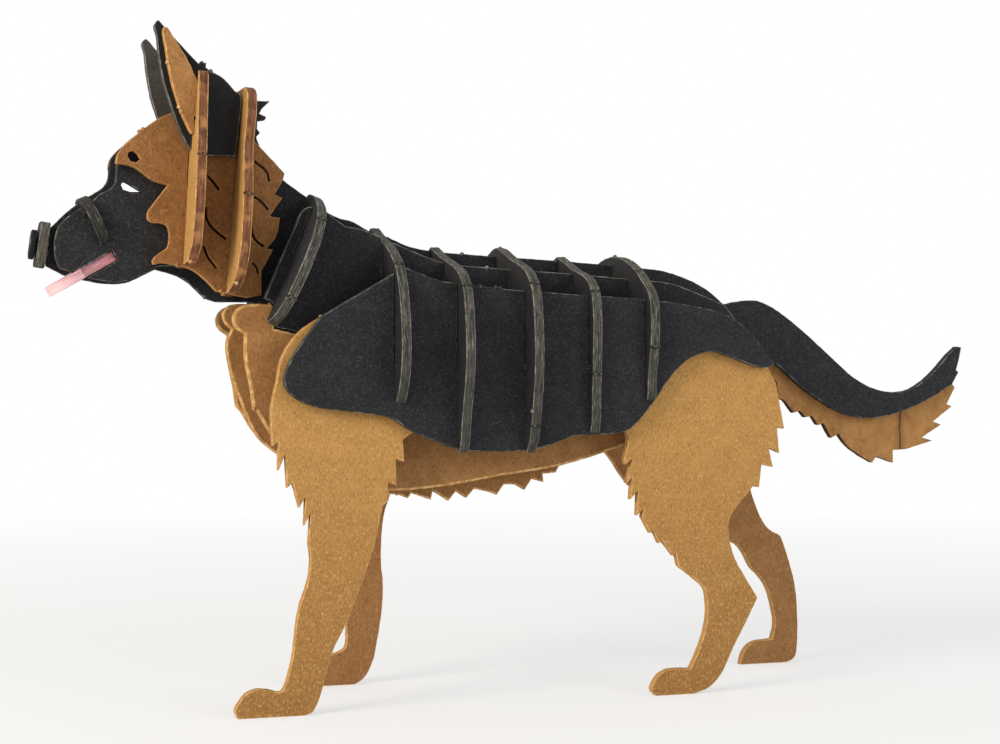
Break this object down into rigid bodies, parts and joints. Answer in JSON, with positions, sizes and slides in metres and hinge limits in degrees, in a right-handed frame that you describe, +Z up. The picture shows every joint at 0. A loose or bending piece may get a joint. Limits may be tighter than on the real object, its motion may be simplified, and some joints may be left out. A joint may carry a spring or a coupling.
{
  "type": "slotted board dog",
  "caption": "Standing dog decoration of slotted grey-board plates: spine and keel profiles, ribs, layered head, ears, legs and tail, glued into one piece.",
  "frame": {"origin": "on the ground, under the middle of the dog's length and on its centre plane", "axes": "+X from nose to tail, +Y to the dog's right side, +Z up"},
  "size_m": [0.201, 0.0506, 0.1317],
  "materials": {
    "black_board": "matt black grey board with fine light flecks",
    "tan_board": "matt tan grey board with burnt cut edges",
    "pink_board": "matt pink board"
  },
  "bodies": {
    "root": {"brisket_left": "tan_board", "brisket_right": "tan_board", "cheek_former": "tan_board", "collar_rib": "black_board", "ear_left": "black_board", "ear_right": "black_board", "face_left": "black_board", "face_right": "black_board", "flank_left": "black_board", "flank_right": "black_board", "foreleg_left": "tan_board", "foreleg_right": "tan_board", "head_side_left": "tan_board", "head_side_right": "tan_board", "hindleg_left": "tan_board", "hindleg_right": "tan_board", "inner_back_left": "black_board", "inner_back_right": "black_board", "inner_ear_left": "tan_board", "inner_ear_right": "tan_board", "keel": "tan_board", "muzzle_bar": "black_board", "nose_plate": "black_board", "nose_tip": "black_board", "rib_1": "black_board", "rib_2": "black_board", "rib_3": "black_board", "rib_4": "black_board", "rib_5": "black_board", "ruff_former": "tan_board", "spine_profile": "black_board", "tail_fringe": "tan_board", "tongue": "pink_board"}
  },
  "joints": []
}
